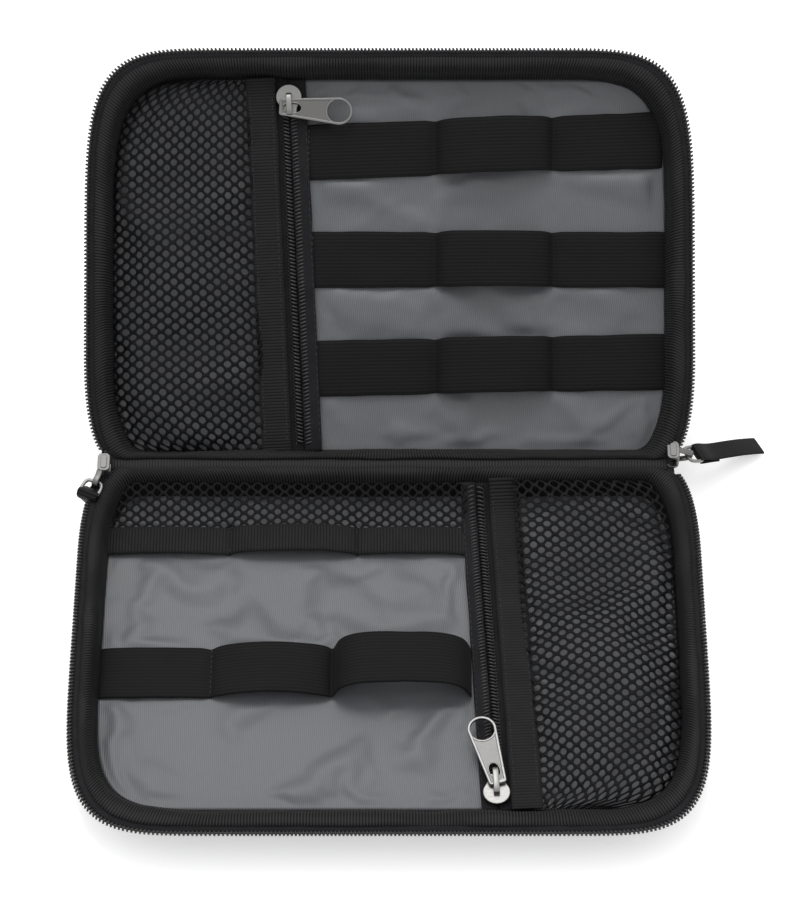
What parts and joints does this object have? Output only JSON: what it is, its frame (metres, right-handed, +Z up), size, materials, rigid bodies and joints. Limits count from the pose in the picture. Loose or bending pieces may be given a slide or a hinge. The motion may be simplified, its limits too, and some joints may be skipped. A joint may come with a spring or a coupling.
{
  "type": "cable organizer pouch",
  "caption": "Soft clamshell travel pouch for cables and chargers, open, with elastic bands, a slip pocket and zipped net pockets in both halves.",
  "frame": {"origin": "centre of the base half's flat underside", "axes": "+Z up out of the open base, +X along the hinge, the lid half lies towards +Y"},
  "size_m": [0.266, 0.2861, 0.1019],
  "materials": {
    "outer_fabric": "woven black polyester",
    "ribbed_tape": "ribbed black grosgrain",
    "mesh_net": "open hexagonal net",
    "elastic": "ribbed woven elastic",
    "grey_lining": "satin-like twill nylon",
    "foam": "padding",
    "board": "stiffener sheet",
    "zip_teeth": "nylon coil",
    "webbing": "flat woven webbing",
    "nickel": "satin nickel plate"
  },
  "bodies": {
    "base": {"base_shell": "outer_fabric", "base_padding": "foam", "base_stiffener": "board", "base_wall_lining": "ribbed_tape", "base_floor_lining": "grey_lining", "base_zip_tape": "ribbed_tape", "base_zip_chain": "zip_teeth", "base_pocket_net": "mesh_net", "base_pocket_trim": "ribbed_tape", "base_pocket_tape_inner": "ribbed_tape", "base_pocket_tape_outer": "ribbed_tape", "base_pocket_coil_inner": "zip_teeth", "base_pocket_coil_outer": "zip_teeth", "base_slip_net": "mesh_net", "base_slip_trim": "ribbed_tape", "base_band": "elastic", "spine_cord": "ribbed_tape"},
    "lid": {"lid_shell": "outer_fabric", "lid_padding": "foam", "lid_wall_lining": "ribbed_tape", "lid_floor_lining": "grey_lining", "lid_zip_tape": "ribbed_tape", "lid_zip_chain": "zip_teeth", "lid_pocket_net": "mesh_net", "lid_pocket_trim": "ribbed_tape", "lid_pocket_tape_inner": "ribbed_tape", "lid_pocket_tape_outer": "ribbed_tape", "lid_pocket_coil_inner": "zip_teeth", "lid_pocket_coil_outer": "zip_teeth", "lid_band_top": "elastic", "lid_band_middle": "elastic", "lid_band_lower": "elastic"},
    "base_pocket_slider": {"base_pocket_slider": "nickel"},
    "base_pocket_puller": {"base_pocket_puller": "nickel"},
    "lid_pocket_slider": {"lid_pocket_slider": "nickel"},
    "lid_pocket_puller": {"lid_pocket_puller": "nickel"},
    "left_zip_slider": {"left_zip_slider": "nickel", "left_pull_loop": "nickel"},
    "right_zip_slider": {"right_zip_slider": "nickel"},
    "left_pull": {"left_pull_strap": "webbing"},
    "right_pull": {"right_pull_loop": "nickel", "right_pull_strap": "webbing"}
  },
  "joints": [
    {"name": "lid_fold", "type": "hinge", "parent": "base", "child": "lid", "pos_m": [0, 0.078, 0.018], "axis": [-1, 0, 0], "range_deg": [-147, 33]},
    {"name": "lid_pocket_zip", "type": "slide", "parent": "lid", "child": "lid_pocket_slider", "axis": [0.0454, -0.8378, -0.5441], "range_m": [0, 0.12]},
    {"name": "lid_puller_flip", "type": "hinge", "parent": "lid_pocket_slider", "child": "lid_pocket_puller", "pos_m": [-0.04078, 0.19389, 0.08479], "axis": [-0.0745, -0.8363, -0.5431], "range_deg": [0, 150]},
    {"name": "base_pocket_zip", "type": "slide", "parent": "base", "child": "base_pocket_slider", "axis": [-0.0454, 0.999, 0], "range_m": [0, 0.096]},
    {"name": "base_puller_flip", "type": "hinge", "parent": "base_pocket_slider", "child": "base_pocket_puller", "pos_m": [0.03819, -0.05285, 0.0109], "axis": [0.97, 0.2429, 0], "range_deg": [0, 140]},
    {"name": "left_zip_run", "type": "slide", "parent": "base", "child": "left_zip_slider", "axis": [-0.1093, -0.994, 0], "range_m": [0, 0.04]},
    {"name": "left_pull_swing", "type": "hinge", "parent": "left_zip_slider", "child": "left_pull", "pos_m": [-0.1154, 0.0682, 0.0184], "axis": [0, 0, 1], "range_deg": [0, 100]},
    {"name": "right_zip_run", "type": "slide", "parent": "base", "child": "right_zip_slider", "axis": [0.1093, -0.994, 0], "range_m": [0, 0.04]},
    {"name": "right_pull_swing", "type": "hinge", "parent": "right_zip_slider", "child": "right_pull", "pos_m": [0.1149, 0.0805, 0.0176], "axis": [0.4578, -0.889, 0], "range_deg": [-60, 110]}
  ]
}
